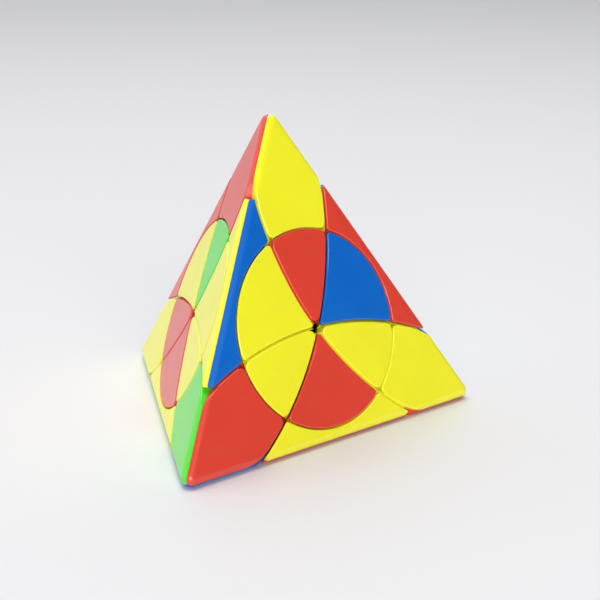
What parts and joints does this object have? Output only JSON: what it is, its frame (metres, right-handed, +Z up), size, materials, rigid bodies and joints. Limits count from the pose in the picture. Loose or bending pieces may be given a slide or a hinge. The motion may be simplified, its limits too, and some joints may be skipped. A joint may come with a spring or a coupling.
{
  "type": "pyramid twisty puzzle",
  "caption": "Pyramid shaped twisty puzzle with coloured corners and edges and a turning circle of curved petals on each face.",
  "frame": {"origin": "on the flat base face, in the middle of its outline box; the top corner and the turning axes stand 13.17 mm towards -Y from it", "axes": "+Z up through the top corner, +X along the lower edge of the front face, front face towards -Y"},
  "size_m": [0.0956, 0.0834, 0.0789],
  "materials": {
    "plastic_yellow": "satin",
    "plastic_red": "satin",
    "plastic_blue": "satin",
    "plastic_green": "satin",
    "hub_plastic": "satin",
    "core_plastic": "satin",
    "steel": "satin"
  },
  "bodies": {
    "lower_puzzle": {"corner_cap_left_front": "plastic_red", "corner_cap_left_west": "plastic_green", "corner_cap_left_base": "plastic_blue", "corner_cap_right_front": "plastic_yellow", "corner_cap_right_east": "plastic_blue", "corner_cap_right_base": "plastic_red", "corner_cap_back_west": "plastic_yellow", "corner_cap_back_east": "plastic_blue", "corner_cap_back_base": "plastic_green", "edge_half_left_right_front": "plastic_yellow", "edge_half_left_right_base": "plastic_red", "edge_half_left_back_west": "plastic_yellow", "edge_half_left_back_base": "plastic_green", "edge_half_right_back_east": "plastic_blue", "edge_half_right_back_base": "plastic_green", "corner_petal_left_front": "plastic_yellow", "corner_petal_right_front": "plastic_yellow", "corner_petal_left_west": "plastic_yellow", "corner_petal_back_west": "plastic_red", "corner_petal_right_east": "plastic_green", "corner_petal_back_east": "plastic_blue", "edge_petal_left_right_front": "plastic_red", "edge_petal_left_back_west": "plastic_red", "edge_petal_right_back_east": "plastic_red", "corner_hub_left": "hub_plastic", "corner_hub_right": "hub_plastic", "corner_hub_back": "hub_plastic", "core": "core_plastic", "screws": "steel", "washers": "steel", "springs": "steel"},
    "top_layer": {"corner_cap_top_front": "plastic_yellow", "corner_cap_top_west": "plastic_red", "corner_cap_top_east": "plastic_green", "edge_half_top_left_front": "plastic_blue", "edge_half_top_left_west": "plastic_yellow", "edge_half_top_right_front": "plastic_red", "edge_half_top_right_east": "plastic_blue", "edge_half_top_back_west": "plastic_red", "edge_half_top_back_east": "plastic_green", "corner_petal_top_front": "plastic_red", "corner_petal_top_west": "plastic_green", "corner_petal_top_east": "plastic_blue", "edge_petal_top_left_front": "plastic_yellow", "edge_petal_top_right_front": "plastic_blue", "edge_petal_top_left_west": "plastic_yellow", "edge_petal_top_back_west": "plastic_yellow", "edge_petal_top_right_east": "plastic_green", "edge_petal_top_back_east": "plastic_blue", "corner_hub_top": "hub_plastic"},
    "base_circle": {"corner_petal_left_base": "plastic_blue", "corner_petal_right_base": "plastic_red", "corner_petal_back_base": "plastic_green", "edge_petal_left_right_base": "plastic_green", "edge_petal_left_back_base": "plastic_blue", "edge_petal_right_back_base": "plastic_green"}
  },
  "joints": [
    {"name": "top_layer_turn", "type": "hinge", "parent": "lower_puzzle", "child": "top_layer", "pos_m": [0, -0.01317, 0.02082], "axis": [0, 0, 1], "continuous": true},
    {"name": "base_circle_turn", "type": "hinge", "parent": "lower_puzzle", "child": "base_circle", "pos_m": [0, -0.01317, 0], "axis": [0, 0, 1], "continuous": true}
  ]
}
